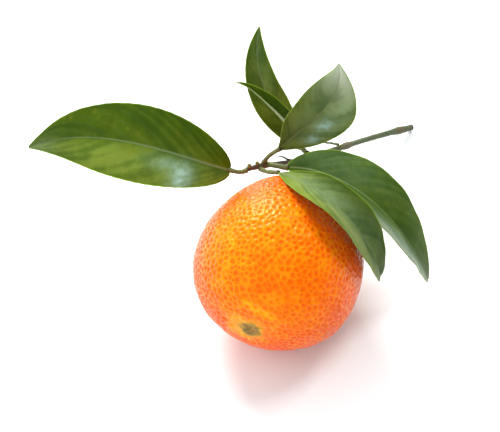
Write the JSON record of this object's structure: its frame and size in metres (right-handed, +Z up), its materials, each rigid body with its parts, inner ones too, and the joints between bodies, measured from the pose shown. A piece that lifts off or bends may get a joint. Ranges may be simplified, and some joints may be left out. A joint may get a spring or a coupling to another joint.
{
  "type": "mandarin",
  "caption": "Mandarin picked with its twig and leaves, lying on its side on a small flat spot, one leaf tip and the cut twig end touching down",
  "frame": {"origin": "centre of the small flat spot under the fruit, on the surface that it rests on", "axes": "+X along the widest spread of the leaves, +Y back towards the cut end of the twig, +Z up from the surface"},
  "size_m": [0.1458, 0.1202, 0.0887],
  "materials": {
    "peel": "waxy dimpled orange peel",
    "calyx": "dry green star",
    "green_stem": "smooth green stalk",
    "bark": "grey-green young bark",
    "leaf": "glossy above, matt and paler below",
    "bud": "scaly bud",
    "thorn": "dry brown"
  },
  "bodies": {
    "root": {"fruit": "peel", "calyx": "calyx", "pedicel": "green_stem", "twig": "bark", "left_leaf": "leaf", "left_leaf_stalk": "green_stem", "upper_leaf": "leaf", "upper_leaf_stalk": "green_stem", "back_leaf": "leaf", "back_leaf_stalk": "green_stem", "small_leaf": "leaf", "small_leaf_stalk": "green_stem", "front_leaf": "leaf", "front_leaf_stalk": "green_stem", "side_leaf": "leaf", "side_leaf_stalk": "green_stem", "tip_bud": "bud", "fork_bud": "bud", "middle_bud": "bud", "lower_bud": "bud", "thorn": "thorn"}
  },
  "joints": []
}
